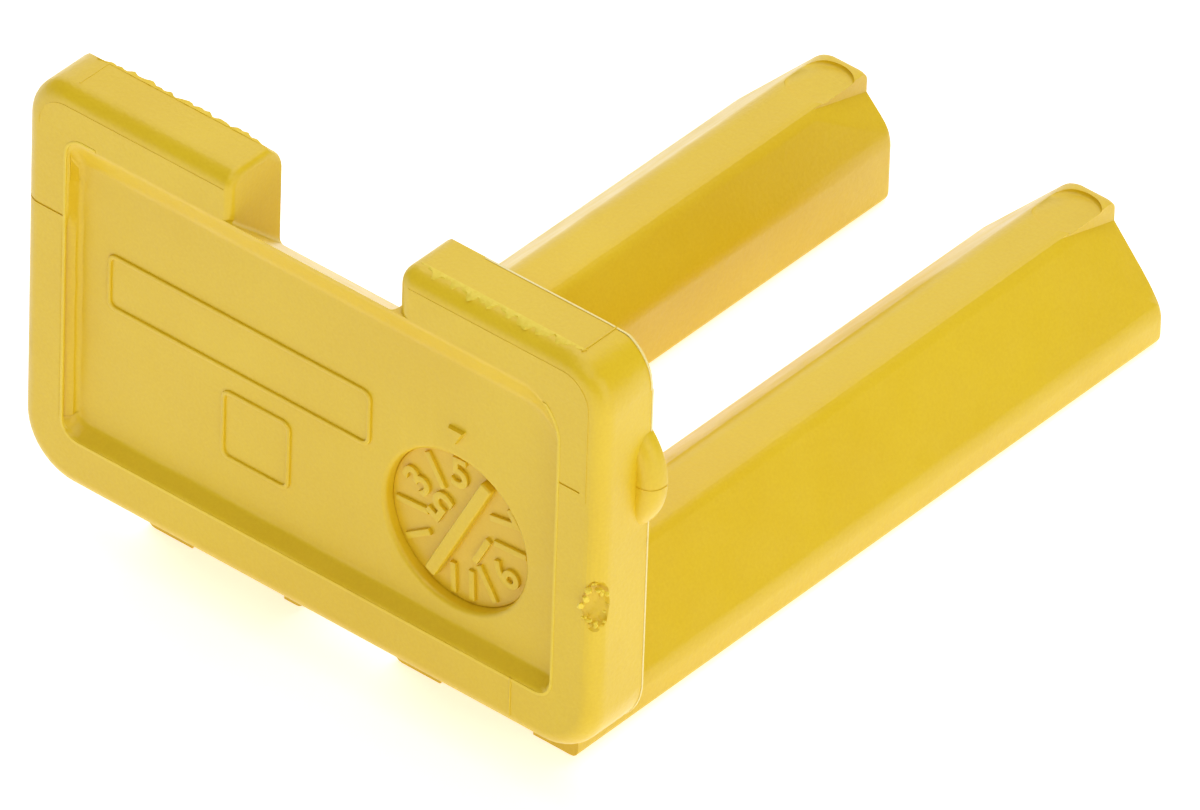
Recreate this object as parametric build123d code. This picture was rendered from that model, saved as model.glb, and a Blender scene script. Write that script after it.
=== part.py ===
"""Locking slide for a two-row plug housing: a thumb plate with two long bars.

The whole slide is one shot of yellow plastic.  Here it is divided at its
natural boundaries into members that meet face to face.

Frame, in millimetres: +X to the right when looking at the thumb face, +Y from
the thumb face to the bar tips, +Z up.  The origin is the middle of the
footprint, on the plane that the feet of the two bars rest on.
"""

from build123d import *
import os

# ---- driving dimensions ----------------------------------------------------
overall_length = 27.6  # thumb face to bar tips

plate_width = 20.7
plate_height = 13.5  # lower edge of the plate to the tops of the tabs
plate_thickness = 2.15
plate_top_radius = 1.5
plate_bottom_radius = 1.9
plate_front_round = 0.55
corner_land = 0.02  # least straight edge left beside a rounded corner

tab_height = 1.55  # tabs above the front edge of the notch
tab_rear_bevel = 0.43
left_tab_end_round = 0.3
right_tab_end_round = 0.6
notch_width = 5.85
notch_fall = 1.86  # the notch's floor slopes down by this much to the rear face

rim_side = 1.63  # border round the sunk panel
rim_bottom = 1.8
panel_depth = 0.45
panel_corner = 0.6
panel_large_corner = 1.5

bar_pitch = 9.0  # from the left bar's ridge to the right bar's
bars_offset = 0.99  # middle of the two ridges, to the right of the plate's middle
bar_height = 4.0
bar_drop = 1.95  # bars below the lower edge of the plate
ridge_width = 1.58
near_slope_run = 3.15  # long slope on the left of each bar
near_slope_fall = 3.3
right_far_run = 1.85  # slope on the right of the right bar
right_far_fall = 2.9
left_far_run = 0.96  # slope on the right of the left bar
left_far_fall = 1.8
toe_foot_width = 1.63  # foot under the long slope
left_heel_foot_width = 0.71  # foot under the short slope
right_heel_foot_width = 1.6
groove_heel_wall = 0.65  # upright part of the groove's side, over the far foot
groove_toe_wall = 0.15  # the same over the toe foot
groove_roof = 1.95  # solid plastic over the groove
groove_roof_width = 0.5

tip_relief_length = 3.0  # lead-in cut on the far slope
tip_relief_fall = 0.85
ejector_diameter = 2.0
ejector_depth = 0.15
ejector_from_tip = 1.3

nub_height = 3.1
nub_proud = 0.6
nub_reach = 0.68  # along the plate's edge, from its rear face
nub_below_top = 4.5  # middle of the nub, below the tops of the tabs

dial_diameter = 5.0
dial_margin = 1.29  # from the dial to the right edge of the panel
dial_middle = 5.2  # above the lower edge of the plate
dial_depth = 0.35  # below the panel
dial_floor = 0.3
pointer_margin = 0.35  # from each end of the pointer to the dial's edge
pointer_width = 0.42
pointer_height = 0.25
pointer_angle = 63.5  # degrees up from +X, seen from the front

mark_height = 0.12  # raised lines on the panel
mark_line = 0.14
label_margin = 1.12  # from the left edge of the panel
label_gap = 0.53  # from the label frame to the dial
label_height = 1.9
label_middle = 7.45  # above the lower edge of the plate
code_gap = 3.36  # from the code frame to the dial
code_width = 2.5
code_height = 2.35
code_middle = 4.7  # above the lower edge of the plate
index_width = 0.6
index_height = 0.55
index_gap = 0.5  # between the index mark and the dial

# ---- places that follow from them ------------------------------------------
front = -overall_length / 2
rear = front + plate_thickness
tip = overall_length / 2
plate_bottom = bar_drop
plate_top = plate_bottom + plate_height
notch_floor = plate_top - tab_height
panel_face = front + panel_depth
panel_left = -plate_width / 2 + rim_side
panel_right = plate_width / 2 - rim_side
dial_face = panel_face + dial_depth
dial_x = panel_right - dial_margin - dial_diameter / 2
dial_z = plate_bottom + dial_middle
left_ridge_x = bars_offset - bar_pitch / 2
right_ridge_x = bars_offset + bar_pitch / 2
beyond = 5.0  # how far cutting blocks run past what they cut


# ---- helpers ---------------------------------------------------------------
def block(x0, x1, y0, y1, z0, z1):
    """A box between two opposite corners."""
    middle = Pos((x0 + x1) / 2, (y0 + y1) / 2, (z0 + z1) / 2)
    return middle * Box(x1 - x0, y1 - y0, z1 - z0)


def prism(points, y0, y1):
    """A section in X and Z, drawn from y0 to y1."""
    corners = [(x, y0, z) for x, z in points]
    section = make_face(Polyline(*corners, close=True))
    return extrude(section, y1 - y0, dir=(0, 1, 0))


def wedge(points, x0, x1):
    """A section in Y and Z, drawn from x0 to x1."""
    corners = [(x0, y, z) for y, z in points]
    section = make_face(Polyline(*corners, close=True))
    return extrude(section, x1 - x0, dir=(1, 0, 0))


def disc(x, z, diameter, y0, y1):
    """A round disc with its axis along Y."""
    return Pos(x, (y0 + y1) / 2, z) * Rot(90, 0, 0) * Cylinder(diameter / 2, y1 - y0)


def raised_frame(left, right, middle, height):
    """A thin raised outline on the sunk panel; middle is above the lower edge of the plate."""
    low = plate_bottom + middle - height / 2
    outer = block(left, right, panel_face - mark_height, panel_face, low, low + height)
    inner = block(left + mark_line, right - mark_line, front - beyond, panel_face + beyond,
                  low + mark_line, low + height - mark_line)
    return outer - inner


# ---- thumb plate -----------------------------------------------------------
def plate_blank():
    """The whole plate before the notch and the panel: rounded corners, rounded front edge."""
    blank = block(-plate_width / 2, plate_width / 2, front, rear, plate_bottom, plate_top)
    corners = blank.edges().filter_by(Axis.Y).group_by(Axis.Z)
    top_radius = min(plate_top_radius, tab_height - corner_land)
    blank = fillet(corners[-1], top_radius)
    corners = blank.edges().filter_by(Axis.Y).group_by(Axis.Z)
    blank = fillet(corners[0], plate_bottom_radius)
    front_edges = blank.edges().filter_by_position(Axis.Y, front, front)
    return fillet(front_edges, plate_front_round)


def grip_tab(side, end_round):
    """One of the two tabs beside the notch; side is -1 for the left one."""
    inner = side * notch_width / 2
    outer = side * (plate_width / 2 + beyond)
    cut = block(min(inner, outer), max(inner, outer), front - beyond, rear + beyond,
                notch_floor, plate_top + beyond)
    tab = plate_blank() & cut
    bevel = [(rear - tab_rear_bevel, plate_top), (rear + beyond, plate_top),
             (rear + beyond, plate_top - tab_rear_bevel - beyond)]
    tab -= wedge(bevel, -plate_width, plate_width)
    end_edge = tab.edges().filter_by(Axis.Y).sort_by_distance((inner, front, plate_top))[0]
    return fillet(end_edge, end_round)


def panel_cut():
    """The shallow recess in the thumb face, open upwards at the notch."""
    floor = plate_bottom + rim_bottom
    cut = block(panel_left, panel_right, front - beyond, panel_face, floor, notch_floor)
    corners = cut.edges().filter_by(Axis.Y)
    large = corners.sort_by_distance((panel_right, front, notch_floor))[0]
    small = [edge for edge in corners if edge != large]
    cut = fillet(small, panel_corner)
    large = cut.edges().filter_by(Axis.Y).sort_by_distance((panel_right, front, notch_floor))[0]
    return fillet(large, panel_large_corner)


def notch_cut():
    """The space over the notch's floor, which slopes down to the rear."""
    steepness = notch_fall / plate_thickness
    over = [(front - beyond, notch_floor + steepness * beyond),
            (rear + beyond, notch_floor - notch_fall - steepness * beyond),
            (rear + beyond, plate_top + beyond),
            (front - beyond, plate_top + beyond)]
    return wedge(over, -notch_width / 2, notch_width / 2)


def plate_slice(y0, y1):
    """The plate below the tabs, between two depths, with the notch cut out of it."""
    kept = block(-plate_width, plate_width, y0, y1, plate_bottom - beyond, notch_floor)
    return (plate_blank() & kept) - notch_cut()


def face_plate():
    """The plate behind the sunk panel, with the dial's seat."""
    seat = disc(dial_x, dial_z, dial_diameter, front - beyond, dial_face + dial_floor)
    return plate_slice(panel_face, rear + beyond) - seat


def thumb_rim():
    """The raised border round the sunk panel, open at the top."""
    return plate_slice(front - beyond, panel_face) - panel_cut()


# ---- locking bars ----------------------------------------------------------
def bar_section(ridge_x, far_run, far_fall, heel_foot):
    """Section of a bar: flat ridge, a slope each side, two feet and a groove between them."""
    ridge_left = ridge_x - ridge_width / 2
    ridge_right = ridge_x + ridge_width / 2
    toe = ridge_left - near_slope_run
    heel = ridge_right + far_run
    groove_left = toe + toe_foot_width
    groove_right = heel - heel_foot
    groove_top = bar_height - groove_roof
    roof_middle = (groove_left + groove_right) / 2
    return [
        (ridge_left, bar_height),
        (ridge_right, bar_height),
        (heel, bar_height - far_fall),
        (heel, 0),
        (groove_right, 0),
        (groove_right, groove_heel_wall),
        (roof_middle + groove_roof_width / 2, groove_top),
        (roof_middle - groove_roof_width / 2, groove_top),
        (groove_left, groove_toe_wall),
        (groove_left, 0),
        (toe, 0),
        (toe, bar_height - near_slope_fall),
    ]


def tip_relief(ridge_x, far_run, far_fall):
    """The wedge taken off the far slope at the tip, as a lead-in."""
    edge = ridge_x + ridge_width / 2
    steepness = (far_fall - tip_relief_fall) / far_run
    start = tip - tip_relief_length
    over = far_run + beyond
    up = far_fall + beyond
    low_line = [(edge, tip, bar_height - tip_relief_fall),
                (edge + over, tip, bar_height - tip_relief_fall - steepness * over)]
    back = [(edge + over, start, bar_height - steepness * over), (edge, start, bar_height)]
    ground = make_face(Polyline(*low_line, *back, close=True))
    return extrude(ground, up, dir=(0, 0, 1))


def locking_bar(ridge_x, far_run, far_fall, heel_foot):
    """One bar, from the rear face of the plate to its tip."""
    bar = prism(bar_section(ridge_x, far_run, far_fall, heel_foot), rear, tip)
    bar -= tip_relief(ridge_x, far_run, far_fall)
    mark = Pos(ridge_x, tip - ejector_from_tip, bar_height)
    return bar - mark * Cylinder(ejector_diameter / 2, 2 * ejector_depth)


# ---- small features --------------------------------------------------------
def detent_nub(side):
    """The flattened dome on one edge of the plate that clicks into the housing."""
    half = nub_height / 2
    radius = (half ** 2 + nub_proud ** 2) / (2 * nub_proud)
    edge = plate_width / 2
    dome = scale(Sphere(radius), by=(1, nub_reach / half, 1))
    middle_z = plate_top - nub_below_top
    dome = Pos(side * (edge + nub_proud - radius), rear, middle_z) * dome
    outer = side * (edge + beyond)
    keep = block(min(side * edge, outer), max(side * edge, outer), front, rear,
                 middle_z - beyond, middle_z + beyond)
    return dome & keep


def date_dial():
    """The floor of the round date mark."""
    return disc(dial_x, dial_z, dial_diameter, dial_face, dial_face + dial_floor)


def dial_pointer():
    """The raised bar across the date mark."""
    bar = Box(dial_diameter - 2 * pointer_margin, pointer_height, pointer_width)
    place = Pos(dial_x, dial_face - pointer_height / 2, dial_z)
    return place * Rot(0, -pointer_angle, 0) * bar


def dial_index_mark():
    """The small triangle that points down at the date mark."""
    low = dial_z + dial_diameter / 2 + index_gap
    points = [(dial_x, low), (dial_x + index_width / 2, low + index_height),
              (dial_x - index_width / 2, low + index_height)]
    return prism(points, panel_face - mark_height, panel_face)


def label_frame():
    """The long blank frame, from the left of the panel to the dial."""
    right = dial_x - dial_diameter / 2 - label_gap
    return raised_frame(panel_left + label_margin, right, label_middle, label_height)


def code_frame():
    """The small blank frame under the long one."""
    right = dial_x - dial_diameter / 2 - code_gap
    return raised_frame(right - code_width, right, code_middle, code_height)


def members():
    """Every member, by the name of its node."""
    return {
        "face_plate": face_plate(),
        "thumb_rim": thumb_rim(),
        "left_grip_tab": grip_tab(-1, left_tab_end_round),
        "right_grip_tab": grip_tab(1, right_tab_end_round),
        "left_locking_bar": locking_bar(left_ridge_x, left_far_run, left_far_fall,
                                        left_heel_foot_width),
        "right_locking_bar": locking_bar(right_ridge_x, right_far_run, right_far_fall,
                                         right_heel_foot_width),
        "left_detent_nub": detent_nub(-1),
        "right_detent_nub": detent_nub(1),
        "date_dial": date_dial(),
        "dial_pointer": dial_pointer(),
        "dial_index_mark": dial_index_mark(),
        "label_frame": label_frame(),
        "code_frame": code_frame(),
    }


os.makedirs("parts", exist_ok=True)
for name, shape in members().items():
    export_step(shape, f"parts/{name}.step")
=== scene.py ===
import math

import bmesh
import bpy
from mathutils import Matrix, Vector


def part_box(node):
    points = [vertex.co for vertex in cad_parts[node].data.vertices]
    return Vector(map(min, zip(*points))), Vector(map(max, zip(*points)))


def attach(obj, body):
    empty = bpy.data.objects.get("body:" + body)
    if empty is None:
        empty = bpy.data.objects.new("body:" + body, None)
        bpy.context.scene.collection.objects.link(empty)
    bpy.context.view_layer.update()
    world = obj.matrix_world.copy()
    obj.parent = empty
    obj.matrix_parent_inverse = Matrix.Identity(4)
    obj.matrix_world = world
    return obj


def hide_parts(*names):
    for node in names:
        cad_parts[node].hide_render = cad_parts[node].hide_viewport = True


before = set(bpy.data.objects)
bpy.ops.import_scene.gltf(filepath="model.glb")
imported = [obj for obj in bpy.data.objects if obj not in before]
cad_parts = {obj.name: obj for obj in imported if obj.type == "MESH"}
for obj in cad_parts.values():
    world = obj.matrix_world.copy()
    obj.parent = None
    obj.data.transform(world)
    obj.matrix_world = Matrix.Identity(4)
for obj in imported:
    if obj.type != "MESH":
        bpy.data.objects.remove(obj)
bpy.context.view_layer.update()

# ---- scale and places ------------------------------------------------------
# Pieces are modelled in millimetres and brought to the frame's metres when finished.
MM = 0.001
NEAR = 0.004  # two places closer than this are the same place


def node_box(node):
    """Lowest and highest corner of a node, in millimetres."""
    low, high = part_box(node)
    return low / MM, high / MM


plate_low, plate_high = node_box("face_plate")
rim_high = node_box("thumb_rim")[1]
left_tab_low, left_tab_high = node_box("left_grip_tab")
right_tab_low = node_box("right_grip_tab")[0]
dial_low, dial_high = node_box("date_dial")

left, right = plate_low.x, plate_high.x
bottom, top = plate_low.z, left_tab_high.z
front, rear = left_tab_low.y, plate_high.y
panel_face = rim_high.y
notch_z = left_tab_low.z
notch_left, notch_right = left_tab_high.x, right_tab_low.x
dial_middle = (dial_low + dial_high) / 2
dial_radius = (dial_high.x - dial_low.x) / 2
dial_face = dial_low.y
beyond = 2.0  # how far cutting tools run past what they cut

# ---- the plate's own sizes -------------------------------------------------
top_radius = 1.5
bottom_radius = 1.9
front_round = 0.55
rear_round = 0.14
left_tab_bevel = 0.43
right_tab_bevel = 0.2
tab_end_round = 0.26
right_tab_corner_round = 0.6
notch_fall = 1.86
notch_fillet = 0.15
rim_side = 1.63
rim_bottom = 1.8
panel_corner = 0.6
panel_large_corner = 1.5
panel_top_ramp = 0.75
panel_bottom_ramp = 0.2
panel_fillet = 0.16
panel_draft = 0.07
rim_edge_round = 0.12
dial_edge_round = 0.16
parting_z = 11.13  # height of the mould's parting line on the rims
wall_step = 0.12  # the left wall of the recess stands out by this much below it
wall_waver = 0.025
wall_cuts = 17  # how often each long wall of the recess is divided
wall_reach = 0.5  # vertices closer to a wall than this belong to it
line_width = 0.07  # the parting lines
line_depth = 0.03
scar_z = 7.5
scar_width = 0.62
scar_height = 1.05
scar_inset = 0.08  # the pit's middle lies this far outside the front and right faces
scar_roughness = 0.07

# ---- the bars' own sizes ---------------------------------------------------
ridge_width = 1.58
near_slope_run = 3.15
near_slope_fall = 3.3
ridge_round = 0.34
crease_round = 0.28
foot_round = 0.26
tip_round = 0.22
toe_foot = 1.63
groove_wall = 0.5
groove_height = 2.05
groove_roof_width = 0.5
groove_roof_round = 0.12
relief_length = 3.0
relief_fall = 0.85
relief_inset = 0.1
ejector_diameter = 2.0
ejector_depth = 0.13
ejector_from_tip = 1.3
ejector_round = 0.08

# ---- the smaller pieces' sizes ---------------------------------------------
root = 0.02  # how far a raised mark reaches into what carries it
nub_round = 0.5
nub_rear_round = 0.05
nub_root = 0.16
nub_line_depth = 0.02
frame_line = 0.14
frame_corner = 0.3
frame_edge_round = 0.04
frame_sink = 0.05  # the frames are this much flatter than their nodes
disc_clearance = 0.004
disc_root = 0.05
disc_edge_round = 0.04
pointer_length = 4.3
pointer_width = 0.42
pointer_corner = 0.09
pointer_edge_round = 0.07
digit_height = 0.1
digit_weight = 0.015
digit_edge = 0.02
month_size = 1.32
month_radius = 1.74
year_size = 1.45
year_radius = 0.86
tick_length = 1.15
tick_width = 0.2
tick_radius = 1.75
tick_edge_round = 0.04
lip_bead_width = 0.11
lip_bead_height = 0.018
# the near-white edge lines are partly flash and partly painted highlight
burr_and_highlight_width = 0.05
burr_and_highlight_proud = 0.015
fillet_line_width = 0.035
fillet_line_drop = front_round - 0.02  # from the plate's outline to the line


# ---- modelling helpers -----------------------------------------------------
def select_only(piece):
    """Leaves edit mode and selects one piece."""
    if bpy.context.mode != "OBJECT":
        bpy.ops.object.mode_set(mode="OBJECT")
    bpy.ops.object.select_all(action="DESELECT")
    piece.select_set(True)
    bpy.context.view_layer.objects.active = piece


def apply_place(piece):
    """Turns a piece's place, turn and scale into its vertices."""
    select_only(piece)
    bpy.ops.object.transform_apply(location=True, rotation=True, scale=True)


def new_piece(name):
    """Names what was just added and applies its place."""
    piece = bpy.context.object
    piece.name = name
    piece.data.name = name
    apply_place(piece)
    return piece


def block(name, low, high):
    """A box between two corners."""
    low, high = Vector(low), Vector(high)
    bpy.ops.mesh.primitive_cube_add(size=1, location=(low + high) / 2, scale=high - low)
    return new_piece(name)


def cylinder(name, vertices, radius, depth, place):
    """A cylinder along Y round a place."""
    bpy.ops.mesh.primitive_cylinder_add(vertices=vertices, radius=radius, depth=depth,
                                        location=place, rotation=(math.pi / 2, 0, 0))
    return new_piece(name)


def edit(piece):
    select_only(piece)
    bpy.ops.object.mode_set(mode="EDIT")


def done():
    bpy.ops.object.mode_set(mode="OBJECT")


def choose(kind, test):
    """In edit mode, selects the vertices, edges or faces that pass a test of their corners."""
    bpy.ops.mesh.select_mode(type=kind)
    bpy.ops.mesh.select_all(action="DESELECT")
    mesh = bmesh.from_edit_mesh(bpy.context.object.data)
    parts = {"VERT": mesh.verts, "EDGE": mesh.edges, "FACE": mesh.faces}[kind]
    for part in parts:
        corners = [part.co] if kind == "VERT" else [v.co for v in part.verts]
        if test(corners):
            part.select_set(True)
    bmesh.update_edit_mesh(bpy.context.object.data)


def at(corners, axis, place):
    """True if every corner lies at a place on an axis (0, 1 or 2)."""
    return all(abs(corner[axis] - place) < NEAR for corner in corners)


def along(corners, axis):
    """True if an edge runs along an axis."""
    run = corners[1] - corners[0]
    return abs(run[axis]) > 0.999 * run.length


def round_edges(piece, test, radius, segments=4):
    """Rounds the edges that pass a test."""
    edit(piece)
    choose("EDGE", test)
    bpy.ops.mesh.bevel(offset=radius, segments=segments, affect="EDGES", clamp_overlap=False)
    done()


def slice_off(piece, point, normal):
    """Takes off what lies past a plane, on the side that its normal points to."""
    edit(piece)
    bpy.ops.mesh.select_all(action="SELECT")
    bpy.ops.mesh.bisect(plane_co=point, plane_no=Vector(normal).normalized(), use_fill=True,
                        clear_outer=True, threshold=1e-5)
    done()


def apply_modifier(piece, kind, **settings):
    select_only(piece)
    change = piece.modifiers.new(kind.lower(), kind)
    for name, value in settings.items():
        setattr(change, name, value)
    bpy.ops.object.modifier_apply(modifier=change.name)


def cut(piece, tool):
    """Takes a tool's shape out of a piece and throws the tool away."""
    edit(tool)
    bpy.ops.mesh.select_all(action="SELECT")
    bpy.ops.mesh.quads_convert_to_tris()
    done()
    apply_modifier(piece, "BOOLEAN", operation="DIFFERENCE", solver="EXACT", object=tool)
    bpy.data.objects.remove(tool, do_unlink=True)


def merge_flats(piece):
    """Joins faces that lie in one plane."""
    edit(piece)
    bpy.ops.mesh.select_all(action="SELECT")
    bpy.ops.mesh.dissolve_limited(angle_limit=math.radians(0.5))
    done()


def finish_piece(piece, material, *nodes, smooth_angle=32):
    """Brings a piece to metres, shades it, gives it its plastic and its place in the frame."""
    edit(piece)
    bpy.ops.mesh.select_all(action="SELECT")
    bpy.ops.mesh.remove_doubles(threshold=1e-4)
    bpy.ops.mesh.normals_make_consistent(inside=False)
    done()
    piece.scale = (MM, MM, MM)
    apply_place(piece)
    bpy.ops.object.shade_smooth_by_angle(angle=math.radians(smooth_angle))
    apply_modifier(piece, "WEIGHTED_NORMAL", keep_sharp=True, weight=80)
    piece.data.materials.clear()
    piece.data.materials.append(material)
    if nodes:
        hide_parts(*nodes)
    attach(piece, "root")


# ---- materials -------------------------------------------------------------
def plastic(name, light, deep, roughness, grain):
    """Glass-filled moulded plastic: cloudy colour, fine grain and faint flow lines."""
    material = bpy.data.materials.new(name)
    material.use_nodes = True
    nodes, links = material.node_tree.nodes, material.node_tree.links
    shader = nodes["Principled BSDF"]
    shader.inputs["IOR"].default_value = 1.5
    place = nodes.new("ShaderNodeTexCoord")

    def noise(scale, detail, stretch=(1, 1, 1)):
        mapping = nodes.new("ShaderNodeMapping")
        mapping.inputs["Scale"].default_value = stretch
        links.new(place.outputs["Object"], mapping.inputs["Vector"])
        pattern = nodes.new("ShaderNodeTexNoise")
        pattern.inputs["Scale"].default_value = scale
        pattern.inputs["Detail"].default_value = detail
        links.new(mapping.outputs["Vector"], pattern.inputs["Vector"])
        return pattern.outputs["Fac"]

    def spread(value, low, high):
        ramp = nodes.new("ShaderNodeMapRange")
        ramp.inputs["From Min"].default_value = 0.3
        ramp.inputs["From Max"].default_value = 0.7
        ramp.inputs["To Min"].default_value = low
        ramp.inputs["To Max"].default_value = high
        links.new(value, ramp.inputs["Value"])
        return ramp.outputs["Result"]

    clouds = noise(260, 3)
    mix = nodes.new("ShaderNodeMix")
    mix.data_type = "RGBA"
    mix.inputs["A"].default_value = (*light, 1)
    mix.inputs["B"].default_value = (*deep, 1)
    grains = nodes.new("ShaderNodeMath")
    grains.operation = "MULTIPLY_ADD"
    links.new(spread(noise(11000, 3), -0.5, 0.5), grains.inputs[0])
    grains.inputs[1].default_value = 0.7
    links.new(spread(clouds, 0.15, 0.85), grains.inputs[2])
    links.new(grains.outputs["Value"], mix.inputs["Factor"])
    links.new(mix.outputs["Result"], shader.inputs["Base Color"])
    links.new(spread(noise(900, 4), roughness - 0.05, roughness + 0.05), shader.inputs["Roughness"])

    height = nodes.new("ShaderNodeMath")
    height.operation = "MULTIPLY_ADD"
    links.new(noise(240, 2, (1, 0.25, 1)), height.inputs[0])
    height.inputs[1].default_value = 3.0
    links.new(noise(6500, 2), height.inputs[2])
    bump = nodes.new("ShaderNodeBump")
    bump.inputs["Strength"].default_value = grain
    bump.inputs["Distance"].default_value = 0.00002
    links.new(height.outputs["Value"], bump.inputs["Height"])
    links.new(bump.outputs["Normal"], shader.inputs["Normal"])
    return material


moulded = plastic("moulded_yellow", (0.80, 0.555, 0.014), (0.76, 0.505, 0.01), 0.36, 0.5)
torn = plastic("torn_yellow", (0.86, 0.67, 0.05), (0.82, 0.57, 0.02), 0.5, 0.9)
rough = plastic("rough_yellow", (0.86, 0.60, 0.012), (0.82, 0.55, 0.01), 0.5, 0.8)
# lighter plastic for the recess's lip: partly wear, partly painted highlight
wear_and_highlight = plastic("wear_and_highlight_yellow", (0.86, 0.63, 0.03), (0.82, 0.57, 0.02), 0.4, 0.9)
# near-white plastic for thin lines on the rear corners: partly flash, partly painted highlight
burr_and_highlight = plastic("burr_and_highlight_yellow", (0.92, 0.80, 0.40), (0.88, 0.72, 0.22), 0.45, 0.5)
# a darker, more orange copy of the plastic for the sunk date disc: painted shade
moulded_painted_shade = plastic("moulded_yellow_dial_painted_shade", (0.79, 0.515, 0.015), (0.76, 0.48, 0.012), 0.36, 0.45)


# ---- thumb plate -----------------------------------------------------------
def plate_stock():
    """The plate below the tabs, with rounded lower corners and edges."""
    stock = block("plate_moulded", (left, front, bottom), (right, rear, notch_z))
    round_edges(stock, lambda c: along(c, 1) and at(c, 2, bottom), bottom_radius, 12)
    round_edges(stock, lambda c: at(c, 1, front) and not at(c, 2, notch_z), front_round, 7)
    round_edges(stock, lambda c: at(c, 1, rear) and not at(c, 2, notch_z), rear_round, 3)
    return stock


def notch_tool():
    """What is taken out between the tabs: its floor slopes down to the rear."""
    steepness = notch_fall / (rear - front)
    tool = block("notch_tool", (notch_left, front - beyond, bottom),
                 (notch_right, rear + beyond, top + beyond))
    slice_off(tool, (0, front, notch_z), (0, -steepness, -1))
    round_edges(tool, lambda c: (at(c, 0, notch_left) or at(c, 0, notch_right))
                and not along(c, 1) and not along(c, 2), notch_fillet, 3)
    return tool


def grip_tab(node, outer, inner, corner, bevel):
    """A tab beside the notch: rounded outer corner, front edge and end, bevelled rear edge."""
    low, high = node_box(node)
    tab = block(node + "_moulded", low, high)
    round_edges(tab, lambda c: along(c, 1) and at(c, 0, outer) and at(c, 2, top), top_radius, 12)
    if corner:
        round_edges(tab, lambda c: along(c, 1) and at(c, 0, inner) and at(c, 2, top), corner, 8)
    round_edges(tab, lambda c: at(c, 1, front) and not at(c, 2, notch_z)
                and (corner or not at(c, 0, inner)), front_round, 7)
    round_edges(tab, lambda c: at(c, 1, rear) and not at(c, 2, notch_z) and not at(c, 0, inner),
                rear_round, 3)
    slice_off(tab, (0, rear, top - bevel), (0, 1, 1))
    if not corner:
        round_edges(tab, lambda c: at(c, 0, inner) and not at(c, 2, notch_z) and not at(c, 1, rear),
                    tab_end_round, 4)
    finish_piece(tab, moulded, node)


def inset_face(inwards, onwards):
    bpy.ops.mesh.inset(thickness=inwards, depth=onwards, use_even_offset=True)


def quarter_turn(steps=4):
    """The start and end angle of each step of a rounding."""
    angles = [math.pi / 2 * k / steps for k in range(steps + 1)]
    return list(zip(angles, angles[1:]))


def round_lip(radius):
    """In edit mode, grows the chosen face onwards round a convex lip."""
    for a, b in quarter_turn():
        inset_face(radius * (math.sin(b) - math.sin(a)), radius * (math.cos(a) - math.cos(b)))


def sink_face(tool, edge_round, depth, fillet, draft):
    """Grows a tool's rear face into a recess: rounded lip, drafted wall, filleted floor."""
    edit(tool)
    choose("FACE", lambda c: at(c, 1, front))
    round_lip(edge_round)
    inset_face(draft, depth - edge_round - fillet)
    for a, b in quarter_turn():
        inset_face(fillet * (math.cos(a) - math.cos(b)), fillet * (math.sin(b) - math.sin(a)))
    done()


def panel_tool():
    """The shallow recess: sloping top wall, filleted floor, slightly uneven walls."""
    lip = rim_edge_round
    long_edge = 3
    low_x, high_x = left + rim_side - lip, right - rim_side + lip
    low_z, high_z = bottom + rim_bottom - lip, notch_z - NEAR
    tool = block("panel_tool", (low_x, front - beyond, low_z), (high_x, front, high_z))
    round_edges(tool, lambda c: along(c, 1) and at(c, 0, high_x) and at(c, 2, high_z),
                panel_large_corner, 10)
    round_edges(tool, lambda c: along(c, 1) and (at(c, 0, low_x) or at(c, 2, low_z)),
                panel_corner, 6)
    edit(tool)
    choose("EDGE", lambda c: at(c, 1, front) and (c[1] - c[0]).length > long_edge)
    bpy.ops.mesh.subdivide(number_cuts=wall_cuts)
    done()
    sink_face(tool, lip, panel_face - front, panel_fillet, panel_draft)
    slope_wall(tool, lambda z: z > high_z - panel_large_corner - NEAR, -panel_top_ramp)
    slope_wall(tool, lambda z: z < low_z + panel_corner + NEAR, panel_bottom_ramp)
    roughen_walls(tool, low_x, low_z)
    return tool


def slope_wall(tool, beside, ramp):
    """Leans a wall of the recess, so that it runs softly into the panel."""
    edit(tool)
    levels = sorted({round(v.co.y, 4) for v in bmesh.from_edit_mesh(tool.data).verts})
    for level in levels:
        if level > front + NEAR:
            choose("VERT", lambda c: at(c, 1, level) and beside(c[0].z))
            bpy.ops.transform.translate(value=(0, 0, ramp * (level - front) / (panel_face - front)))
    done()


def roughen_walls(tool, low_x, low_z):
    """The left wall stands further out below the parting line, and both long walls waver."""
    edit(tool)
    choose("VERT", lambda c: c[0].y < front + rim_edge_round + NEAR and c[0].x < low_x + 0.3
           and low_z + panel_corner < c[0].z < parting_z)
    bpy.ops.transform.translate(value=(-wall_step, 0, 0))
    waver_wall(tool, 0, low_x, 2)
    waver_wall(tool, 2, low_z, 0)
    done()


def waver_wall(tool, across, wall, length):
    """Shifts a wall's cross lines in and out by turns; across and length are axes."""
    beside = [v.co[length] for v in bmesh.from_edit_mesh(tool.data).verts
              if v.co.y > front - NEAR and v.co[across] < wall + wall_reach]
    for k, level in enumerate(sorted({round(place, 2) for place in beside})):
        choose("VERT", lambda c: c[0].y > front - NEAR and c[0][across] < wall + wall_reach
               and abs(c[0][length] - level) < 0.006)
        shift = [0, 0, 0]
        shift[across] = wall_waver * math.sin(2.4 * k) * math.sin(0.7 * k)
        bpy.ops.transform.translate(value=shift)


def dial_tool():
    """The seat of the date mark, sunk through the panel."""
    tool = cylinder("dial_tool", 96, dial_radius + dial_edge_round, beyond,
                    (dial_middle.x, panel_face - beyond / 2, dial_middle.z))
    edit(tool)
    choose("FACE", lambda c: at(c, 1, panel_face))
    round_lip(dial_edge_round)
    inset_face(0.001, dial_high.y - panel_face - dial_edge_round)
    done()
    return tool


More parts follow.
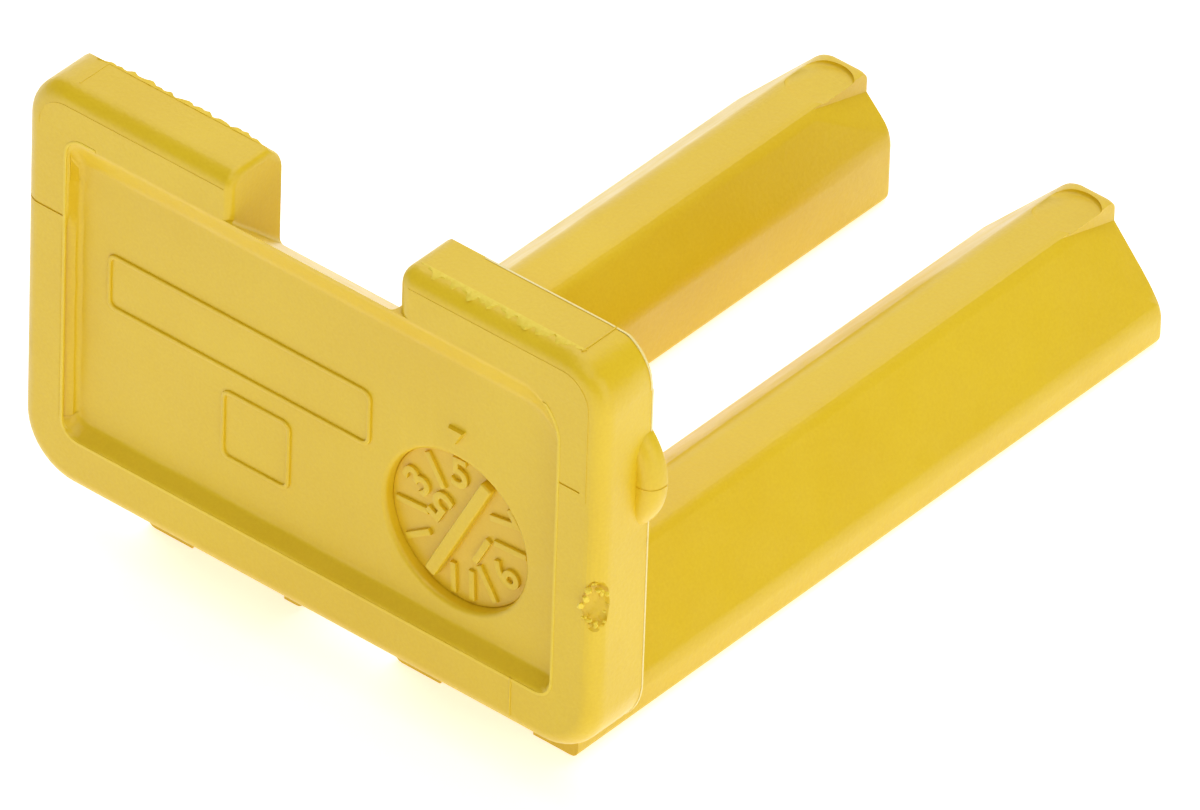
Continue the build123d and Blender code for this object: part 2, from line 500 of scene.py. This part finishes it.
def line_tool(low, high, reach):
    """A thin slab that reaches a little way into the plate's rounded front edge."""
    tool = block("line_tool", low, high)
    core = block("line_core", (left + reach, front + reach, bottom + reach),
                 (right - reach, rear + beyond, notch_z + beyond))
    round_edges(core, lambda c: along(c, 1) and at(c, 2, bottom + reach), bottom_radius - reach, 12)
    round_edges(core, lambda c: at(c, 1, front + reach), front_round - reach, 7)
    cut(tool, core)
    return tool


def scar_tool():
    """The pit where the runner was broken off, on the rounded edge at the front right."""
    bpy.ops.mesh.primitive_ico_sphere_add(subdivisions=4, radius=1,
                                          scale=(scar_width, scar_width, scar_height),
                                          location=(right + scar_inset, front - scar_inset, scar_z))
    tool = new_piece("scar_tool")
    edit(tool)
    bpy.ops.mesh.select_all(action="SELECT")
    bpy.ops.transform.vertex_random(offset=scar_roughness, seed=3)
    done()
    return tool


def thumb_plate():
    """The plate with its notch, recess, dial seat, parting lines and scar."""
    line_gap = 0.1  # from the parting lines to the recess
    line_top = parting_z + line_width
    plate = plate_stock()
    cut(plate, notch_tool())
    cut(plate, panel_tool())
    cut(plate, dial_tool())
    cut(plate, line_tool((left - beyond, front - beyond, parting_z),
                         (left + rim_side - line_gap, rear, line_top), line_depth))
    cut(plate, line_tool((right - rim_side + line_gap, front - beyond, parting_z),
                         (right - 0.75, front + 0.3, line_top), line_depth))
    cut(plate, scar_tool())
    return plate


finish_piece(thumb_plate(), moulded, "face_plate", "thumb_rim")
grip_tab("left_grip_tab", left, notch_left, 0, left_tab_bevel)
grip_tab("right_grip_tab", right, notch_right, right_tab_corner_round, right_tab_bevel)


def detent_nub(node, edge, outwards):
    """A dome on one edge of the plate: a slice of a broad rounded disc, with a parting line."""
    low, high = node_box(node)
    half, proud = (high.z - low.z) / 2, high.x - low.x
    radius = (half ** 2 + proud ** 2) / (2 * proud)
    middle_y, middle_z = (low.y + high.y) / 2, (low.z + high.z) / 2
    centre_x = edge + outwards * (proud - radius)
    depth = high.y - low.y
    nub = cylinder(node + "_moulded", 160, radius, depth, (centre_x, middle_y, middle_z))
    round_edges(nub, lambda c: at(c, 1, low.y), nub_round, 7)
    round_edges(nub, lambda c: at(c, 1, high.y), nub_rear_round, 2)
    slice_off(nub, (edge - outwards * nub_root, 0, 0), (-outwards, 0, 0))
    line = block("nub_line", (edge - 1, low.y - 1, middle_z - line_width / 2),
                 (edge + 1, high.y + 1, middle_z + line_width / 2))
    core = cylinder("nub_core", 160, radius - nub_line_depth, depth,
                    (centre_x, middle_y + nub_line_depth, middle_z))
    round_edges(core, lambda c: at(c, 1, low.y + nub_line_depth), nub_round - nub_line_depth, 7)
    cut(line, core)
    cut(nub, line)
    finish_piece(nub, moulded, node)


detent_nub("left_detent_nub", left, -1)
detent_nub("right_detent_nub", right, 1)


# ---- raised marks on the sunk panel ----------------------------------------
def raised_frame(node):
    """A thin raised outline with rounded corners."""
    low, high = node_box(node)
    low += Vector((0, frame_sink, 0))
    high += Vector((0, root, 0))
    outline = block(node + "_raised", low, high)
    round_edges(outline, lambda c: along(c, 1), frame_corner, 5)
    inner = block("inside", (low.x + frame_line, low.y - 1, low.z + frame_line),
                  (high.x - frame_line, high.y + 1, high.z - frame_line))
    round_edges(inner, lambda c: along(c, 1), frame_corner - frame_line * 0.8, 5)
    cut(outline, inner)
    merge_flats(outline)
    round_edges(outline, lambda c: at(c, 1, low.y), frame_edge_round, 2)
    finish_piece(outline, moulded, node)


raised_frame("label_frame")
raised_frame("code_frame")


def index_mark():
    """The small triangle over the date mark, pointing down at it."""
    point, taper = 0.02, 0.8  # the point's width and the raised face's size, as shares
    low, high = node_box("dial_index_mark")
    mark = block("index_mark", low, high + Vector((0, root, 0)))
    middle = (low.x + high.x) / 2
    edit(mark)
    choose("VERT", lambda c: at(c, 2, low.z))
    bpy.ops.transform.resize(value=(point, 1, 1), center_override=(middle, 0, low.z))
    choose("FACE", lambda c: at(c, 1, low.y))
    bpy.ops.transform.resize(value=(taper, 1, taper), center_override=(middle, low.y, high.z - 0.2))
    done()
    finish_piece(mark, moulded, "dial_index_mark")


index_mark()


# ---- date mark -------------------------------------------------------------
def month_angle(month):
    """Where a month stands on the date mark, in degrees from +X."""
    return 243.5 - 30 * month


pointer_angle = month_angle(6)


def set_on_dial(piece, angle):
    """Turns a piece that lies along +X to an angle, round the date mark's middle."""
    piece.rotation_euler = (0, -math.radians(angle), 0)
    piece.location = (dial_middle.x, 0, dial_middle.z)
    apply_place(piece)


def dial_disc():
    """The flat face of the date mark, with a fine line round it, in a darker copy of the plastic as
    painted shade of its sunk seat.
    """
    disc_rear = dial_high.y + disc_root
    disc = cylinder("dial_disc", 128, dial_radius - disc_clearance, dial_high.y - dial_face + disc_root,
                    (dial_middle.x, (dial_face + disc_rear) / 2, dial_middle.z))
    round_edges(disc, lambda c: at(c, 1, dial_face), disc_edge_round, 3)
    # the darker plastic on the disc is painted shade of its seat
    finish_piece(disc, moulded_painted_shade, "date_dial")


def dial_pointer():
    """The raised bar across the date mark, with softly rounded ends and top."""
    low, high = node_box("dial_pointer")
    bpy.ops.mesh.primitive_cube_add(size=1, scale=(pointer_length, high.y - low.y + root, pointer_width),
                                    location=(0, (low.y + high.y) / 2 + root / 2, 0))
    pointer = new_piece("dial_pointer_raised")
    round_edges(pointer, lambda c: along(c, 1), pointer_corner, 3)
    round_edges(pointer, lambda c: at(c, 1, low.y), pointer_edge_round, 3)
    set_on_dial(pointer, pointer_angle)
    finish_piece(pointer, moulded, "dial_pointer")


def raised_digits(body, size, radius, place_angle, upright_angle):
    """A generic number on the date mark; its place and its upright are angles from +X."""
    turn = math.radians(place_angle)
    bpy.ops.object.text_add()
    digits = bpy.context.object
    digits.data.body = body
    digits.data.size = size
    digits.data.extrude = digit_height / 2
    digits.data.offset = digit_weight
    digits.data.bevel_depth = digit_edge
    digits.data.bevel_resolution = 1
    digits.data.align_x = "CENTER"
    digits.data.align_y = "CENTER"
    bpy.ops.object.convert(target="MESH")
    digits.location = (dial_middle.x + radius * math.cos(turn), dial_face - digit_height / 2 + root,
                       dial_middle.z + radius * math.sin(turn))
    digits.rotation_euler = (math.pi / 2, -math.radians(upright_angle - 90), 0)
    return new_piece("digit")


def join(name, pieces):
    select_only(pieces[0])
    for piece in pieces[1:]:
        piece.select_set(True)
    bpy.ops.object.join()
    joined = bpy.context.object
    joined.name = name
    joined.data.name = name
    return joined


def dial_numbers():
    """Odd months round the mark, and the two digits of a year beside the pointer."""
    pieces = [raised_digits(str(month), month_size, month_radius, month_angle(month), month_angle(month))
              for month in range(1, 12, 2)]
    for digit, radius in (("1", year_radius), ("5", -year_radius)):
        pieces.append(raised_digits(digit, year_size, radius, pointer_angle - 90, pointer_angle + 180))
    finish_piece(join("dial_numbers", pieces), moulded)


def dial_ticks():
    """Short radial bars for the months between the numbers."""
    pieces = []
    for month in (2, 4, 8, 10):
        bpy.ops.mesh.primitive_cube_add(size=1, scale=(tick_length, digit_height + 2 * root, tick_width),
                                        location=(tick_radius, dial_face - digit_height / 2 + root, 0))
        tick = new_piece("tick")
        round_edges(tick, lambda c: at(c, 1, dial_face - digit_height), tick_edge_round, 2)
        set_on_dial(tick, month_angle(month))
        pieces.append(tick)
    finish_piece(join("dial_ticks", pieces), moulded)


dial_disc()
dial_pointer()
dial_numbers()
dial_ticks()


# ---- traces of moulding, and lighter strips partly painted as highlights ---
def lip_bead():
    """The slightly raised lip of the recess: left side, bottom and right side; its lighter plastic is
    partly wear and partly painted highlight.
    """
    margin = 0.17  # from the recess's edge to the bead's outer edge
    corner_grow = 0.05
    low = Vector((left + rim_side - margin, front - lip_bead_height, bottom + rim_bottom - margin))
    high = Vector((right - rim_side + margin, front + 0.04, notch_z + 0.05))
    width = Vector((lip_bead_width, 0, lip_bead_width))
    bead = rounded_slab("lip_bead", low, high, corner_grow)
    inside = rounded_slab("lip_inside", low + width - Vector((0, 1, 0)), high - width + Vector((0, 1, 0)),
                          corner_grow - lip_bead_width)
    cut(bead, inside)
    merge_flats(bead)
    round_edges(bead, lambda c: at(c, 1, low.y), 0.03, 2)
    cut(bead, block("bead_end", (left + 2.6, front - 1, notch_z - 0.35), (right, front + 1, notch_z + 1)))
    # the lip's lighter plastic is partly wear and partly painted highlight
    finish_piece(bead, wear_and_highlight)


def rounded_slab(name, low, high, grow):
    """A slab with the recess's four corners, its radii larger by grow."""
    slab = block(name, low, high)
    round_edges(slab, lambda c: along(c, 1) and at(c, 0, high.x) and at(c, 2, high.z),
                panel_large_corner + grow, 12)
    round_edges(slab, lambda c: along(c, 1) and (at(c, 0, low.x) or at(c, 2, low.z)),
                panel_corner + grow, 6)
    return slab


def wavy_strip(name, start, end, across, width, rise, seed, material):
    """A ragged ridge between two places: across is its width's direction, rise its height's."""
    cuts = 64
    fade_in = 8  # the strip reaches its full width after an eighth of its length
    start, end, across, rise = (Vector(value) for value in (start, end, across, rise))
    bpy.ops.mesh.primitive_cube_add(size=1, location=(0.5, 0, 0))
    strip = new_piece(name)
    edit(strip)
    choose("EDGE", lambda c: along(c, 0))
    bpy.ops.mesh.subdivide(number_cuts=cuts)
    for k in range(cuts + 2):
        share = k / (cuts + 1)
        base = start + share * (end - start)
        swing = (0.62 + 0.16 * math.sin(0.9 * k + seed) + 0.12 * math.sin(1.7 * k + 2 * seed)
                 + 0.12 * math.sin(0.3 * k + seed))
        fade = min(1, fade_in * share + 0.05, fade_in * (1 - share) + 0.05)
        crest = fade * (0.6 + 0.3 * math.sin(1.3 * k + seed))
        aims = {(-0.5, -0.5): base - rise * 0.4,
                (0.5, -0.5): base + across * width * swing * fade - rise * 0.4,
                (-0.5, 0.5): base + rise * 0.35 * fade * swing,
                (0.5, 0.5): base + across * width * (swing - 0.15) * fade + rise * crest}
        for (side, level), aim in aims.items():
            choose("VERT", lambda c: abs(c[0].x - share) < 1e-4 and abs(c[0].y - side) < NEAR
                   and abs(c[0].z - level) < NEAR)
            bpy.ops.transform.translate(value=aim - Vector((share, side, level)))
    done()
    finish_piece(strip, material, smooth_angle=50)


def edge_line(name, low, high, radius, width, above, material, mirrored=False, rear_drop=0):
    """A thin raised line along the plate's outline that turns its upper or lower right corner.

    rear_drop is how far the line follows a bevelled rear edge forwards; mirrored puts it
    on the left.
    """
    outer = block(name, low, high)
    corner_z = high.z if above else low.z
    round_edges(outer, lambda c: along(c, 1) and at(c, 0, high.x) and at(c, 2, corner_z), radius, 14)
    rise = Vector((0, 0, width if above else -width))
    inner = block("inside", low - Vector((beyond, 1, 0)) - rise,
                  high - Vector((width, -1, 0)) - rise)
    round_edges(inner, lambda c: along(c, 1) and at(c, 0, high.x - width)
                and at(c, 2, corner_z - rise.z), radius - width, 14)
    cut(outer, inner)
    edit(outer)
    levels = sorted({round(v.co.z, 4) for v in bmesh.from_edit_mesh(outer.data).verts})
    for level in levels:
        drop = level - (top - rear_drop)
        if rear_drop and drop > NEAR:
            choose("VERT", lambda c: abs(c[0].z - level) < 1e-3 and c[0].y > low.y - NEAR)
            bpy.ops.transform.translate(value=(0, -min(drop, rear_drop), 0))
    if mirrored:
        bpy.ops.mesh.select_all(action="SELECT")
        bpy.ops.transform.resize(value=(-1, 1, 1), center_override=(0, 0, 0))
    done()
    finish_piece(outer, material)


def tab_steps():
    """Faint lines across the tabs, where the mould's parts met."""
    width, height = 0.05, 0.012
    pieces = []
    for x, bevel in ((left + top_radius + 0.05, left_tab_bevel),
                     (right - top_radius + 0.25, right_tab_bevel)):
        step = block("step", (x, front + 0.5, top - 0.03), (x + width, rear - bevel, top + height))
        round_edges(step, lambda c: along(c, 1) and at(c, 2, top + height), 0.01, 2)
        pieces.append(step)
    finish_piece(join("tab_steps", pieces), moulded)


def scar_flecks():
    """Torn shreds round the broken-off runner."""
    pieces = []
    for k in range(13):
        turn = 0.5 + 2.4 * k
        reach = 0.78 + 0.22 * math.sin(3.7 * k)
        side = 0.42 * reach * math.cos(turn)
        x = right - 0.17 + side * 0.72
        y = front + 0.17 + side * 0.72
        z = scar_z + 0.12 + 0.8 * reach * math.sin(turn)
        size = 0.075 + 0.03 * math.sin(2.3 * k)
        stretch = 1.2 + 0.8 * math.sin(k)
        bpy.ops.mesh.primitive_ico_sphere_add(subdivisions=2, radius=1, location=(x, y, z),
                                              scale=(size, size * 0.6, size * stretch),
                                              rotation=(0.4 * k, 0, 0.8))
        shred = new_piece("shred")
        edit(shred)
        bpy.ops.mesh.select_all(action="SELECT")
        bpy.ops.transform.vertex_random(offset=0.035, seed=k)
        done()
        pieces.append(shred)
    finish_piece(join("scar_flecks", pieces), torn, smooth_angle=25)


def bottom_line():
    """A short upright witness line on the lower rim."""
    x, crest = right - 2.98, front - 0.025
    line = block("bottom_line", (x, crest, bottom + 0.45),
                 (x + 0.08, front + 0.05, bottom + rim_bottom - 0.06))
    round_edges(line, lambda c: along(c, 2) and at(c, 1, crest), 0.02, 2)
    finish_piece(line, moulded)


lip_bead()
tab_steps()
scar_flecks()
torn_y = front + 0.62
wavy_strip("torn_flash", (notch_right + 0.45, torn_y, top), (right - 1.15, torn_y, top),
           across=(0, -1, -0.13), width=0.46, rise=(0, -0.015, 0.045), seed=1.0, material=torn)
bevel_y = rear - left_tab_bevel - 0.03
wavy_strip("rough_bevel", (left + 1.15, bevel_y, top), (notch_left - 0.2, bevel_y, top),
           across=(0, 1, -0.15), width=0.26, rise=(0, 0, 0.06), seed=2.6, material=rough)
# near-white lines round the right tab's and plate's rear corners: partly flash, partly painted highlight
edge_line("upper_burr_and_highlight", Vector((notch_right + 1.6, rear - 0.17, notch_z)),
          Vector((right + burr_and_highlight_proud, rear - 0.11, top + burr_and_highlight_proud)), top_radius, burr_and_highlight_width, True, burr_and_highlight,
          rear_drop=right_tab_bevel - 0.09)
edge_line("lower_burr_and_highlight", Vector((right - 4.5, rear - 0.11, bottom - burr_and_highlight_proud)),
          Vector((right + burr_and_highlight_proud, rear - 0.06, notch_z)), bottom_radius, burr_and_highlight_width, False, burr_and_highlight)
fillet_line_high = Vector((right - fillet_line_drop, front + 0.03, top - fillet_line_drop))
fillet_line_radius = top_radius - fillet_line_drop
edge_line("right_fillet_line", Vector((notch_right + 0.5, front - 0.01, notch_z - 3)),
          fillet_line_high, fillet_line_radius, fillet_line_width, True, moulded)
edge_line("left_fillet_line", Vector((-notch_left + 0.25, front - 0.01, notch_z)),
          fillet_line_high, fillet_line_radius, fillet_line_width, True, moulded, mirrored=True)
bottom_line()


# ---- locking bars ----------------------------------------------------------
def bar(node, far_run, far_fall, heel_foot):
    """One bar: flat ridge, a slope each side, rounded edges, groove below, marks at the tip."""
    low, high = node_box(node)
    tip = high.y
    ridge_left = low.x + near_slope_run
    ridge_right = ridge_left + ridge_width
    piece = block(node + "_moulded", low, high)
    slice_off(piece, (ridge_left, 0, high.z), (-near_slope_fall, 0, near_slope_run))
    slice_off(piece, (ridge_right, 0, high.z), (far_fall, 0, far_run))
    round_edges(piece, lambda c: along(c, 1) and at(c, 2, high.z), ridge_round, 5)
    round_edges(piece, lambda c: along(c, 1) and at(c, 2, 0), foot_round, 4)
    round_edges(piece, lambda c: along(c, 1) and (at(c, 0, low.x) or at(c, 0, high.x))
                and min(c[0].z, c[1].z) > foot_round + NEAR, crease_round, 4)
    cut(piece, groove_tool(low, high, heel_foot))
    round_edges(piece, lambda c: at(c, 1, tip), tip_round, 4)
    cut(piece, relief_tool(ridge_right, tip, high, far_run, far_fall))
    cut(piece, ejector_tool((ridge_left + ridge_right) / 2, tip, high.z))
    finish_piece(piece, moulded, node)


def groove_tool(low, high, heel_foot):
    """The tapering groove between the two feet of a bar."""
    start, end = low.x + toe_foot, high.x - heel_foot
    tool = block("groove_tool", (start, low.y - beyond, -beyond),
                 (end, high.y + beyond, groove_height))
    lean = (end - start - groove_roof_width) / 2
    rise = groove_height - groove_wall
    slice_off(tool, (start, 0, groove_wall), (-rise, 0, lean))
    slice_off(tool, (end, 0, groove_wall), (rise, 0, lean))
    round_edges(tool, lambda c: along(c, 1) and at(c, 2, groove_height), groove_roof_round, 2)
    return tool


def relief_tool(ridge_right, tip, high, far_run, far_fall):
    """The wedge taken off the far slope at the tip, as a lead-in."""
    edge = ridge_right - relief_inset
    steepness = (far_fall - relief_fall) / far_run
    tool = block("relief_tool", (edge, tip - 2 * relief_length, 0),
                 (high.x + beyond, tip + beyond, high.z + 1))
    slice_off(tool, (ridge_right, tip - relief_length, high.z),
              (-steepness, -relief_fall / relief_length, -1))
    return tool


def ejector_tool(x, tip, ridge_z):
    """The round mark of an ejector pin, sunk into the ridge near the tip."""
    bpy.ops.mesh.primitive_cylinder_add(vertices=64, radius=ejector_diameter / 2,
                                        depth=2 * ejector_depth,
                                        location=(x, tip - ejector_from_tip, ridge_z))
    tool = new_piece("ejector_tool")
    round_edges(tool, lambda c: at(c, 2, ridge_z - ejector_depth), ejector_round, 3)
    return tool


bar("left_locking_bar", far_run=0.96, far_fall=1.8, heel_foot=0.71)
bar("right_locking_bar", far_run=1.85, far_fall=2.9, heel_foot=1.6)


# ---- light, floor and camera -----------------------------------------------
def floor():
    """A plain white table that glows a little, just clear of the feet."""
    clearance = 0.00001
    bpy.ops.mesh.primitive_plane_add(size=1.6, location=(0, 0, -clearance))
    piece = bpy.context.object
    piece.name = "floor"
    material = bpy.data.materials.new("white_table")
    material.use_nodes = True
    shader = material.node_tree.nodes["Principled BSDF"]
    shader.inputs["Base Color"].default_value = (0.93, 0.93, 0.93, 1)
    shader.inputs["Roughness"].default_value = 0.9
    shader.inputs["Specular IOR Level"].default_value = 0.0
    shader.inputs["Emission Color"].default_value = (1, 1, 1, 1)
    shader.inputs["Emission Strength"].default_value = 0.55
    piece.data.materials.append(material)


def softbox(name, place, size, power):
    """A square soft light that faces the object."""
    target = (0, 0, 0.006)
    bpy.ops.object.light_add(type="AREA", location=place)
    light = bpy.context.object
    light.name = name
    light.data.energy = power
    light.data.size = size
    aim = Vector(target) - Vector(place)
    light.rotation_mode = "QUATERNION"
    light.rotation_quaternion = aim.to_track_quat("-Z", "Y")


def camera():
    """Long lens, from the front right and above, aimed a little past the object's middle."""
    distance = 592
    shift_across, shift_up = 1.537, -3.501
    back = Vector((0.5036, -0.6192, 0.6024))
    across = Vector((0.7628, 0.6461, 0.0263))
    up = Vector((-0.4055, 0.4462, 0.7977))
    subject = Vector((0, -3.8, 7.95))
    centre = subject + shift_across * across + shift_up * up
    place = subject + distance * back
    look = (place - centre).normalized()
    side = up.cross(look).normalized()
    rise = look.cross(side)
    turn = Matrix((side, rise, look)).transposed()
    bpy.ops.object.camera_add()
    view = bpy.context.object
    view.name = "camera"
    view.matrix_world = Matrix.Translation(place * MM) @ turn.to_4x4()
    view.data.lens = 645.8
    view.data.sensor_width = 36
    view.data.clip_start = 0.05
    view.data.clip_end = 10
    bpy.context.scene.camera = view


floor()
softbox("back_light", (-0.35, 0.55, 0.55), 1.2, 5.0)
softbox("front_light", (0.25, -0.4, 0.65), 0.6, 1.5)
softbox("right_light", (0.66, -0.08, 0.2), 0.5, 1.25)
softbox("top_light", (-0.05, 0.1, 0.8), 0.6, 1.9)
camera()

world = bpy.data.worlds.new("studio")
world.use_nodes = True
background = world.node_tree.nodes["Background"]
background.inputs["Color"].default_value = (1, 1, 1, 1)
background.inputs["Strength"].default_value = 0.2
bpy.context.scene.world = world
bpy.context.scene.view_settings.view_transform = "Standard"
